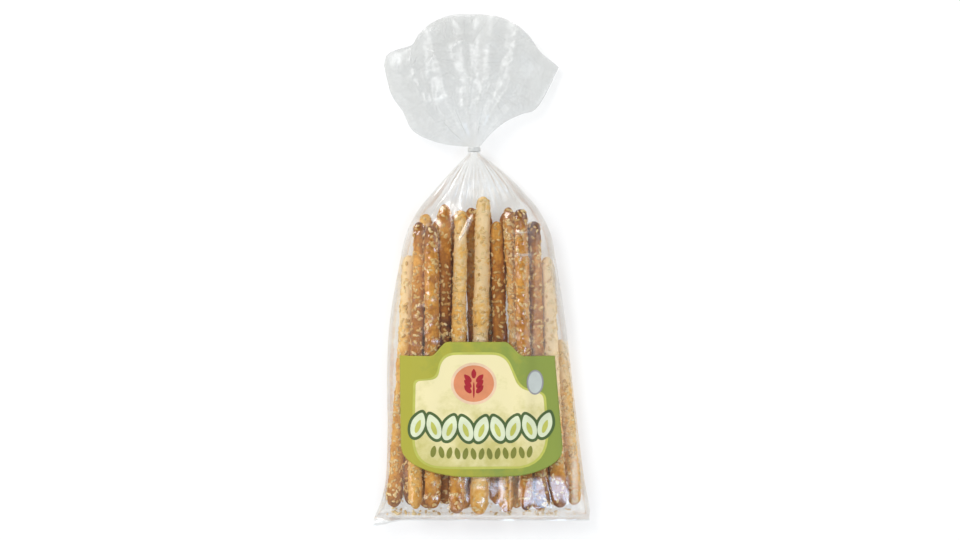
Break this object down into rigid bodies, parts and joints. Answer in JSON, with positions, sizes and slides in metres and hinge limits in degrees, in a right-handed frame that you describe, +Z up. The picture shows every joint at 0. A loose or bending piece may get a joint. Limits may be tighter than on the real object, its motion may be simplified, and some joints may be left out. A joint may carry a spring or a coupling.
{
  "type": "bag of breadsticks",
  "caption": "Clear tied bag of sesame grissini breadsticks, lying on its back, with a gathered neck, a flared film top, a sealed bottom edge and a plain paper label on its front.",
  "frame": {"origin": "on the table, under the middle of the bag's outline as it lies on its back", "axes": "+X across the bag to the right, +Y along it from the sealed edge to the flared top, +Z up, out of the labelled front"},
  "size_m": [0.1409, 0.3342, 0.0284],
  "materials": {
    "film": "clear thin film with soft creases and pleats",
    "label_print": "satin printed paper in green and cream",
    "tie_band": "pale plain band",
    "bread": "baked crust, golden to brown, matt",
    "seeds": "pale toasted sesame"
  },
  "bodies": {
    "root": {"bag": "film", "label": "label_print", "tie": "tie_band"}
  },
  "joints": []
}
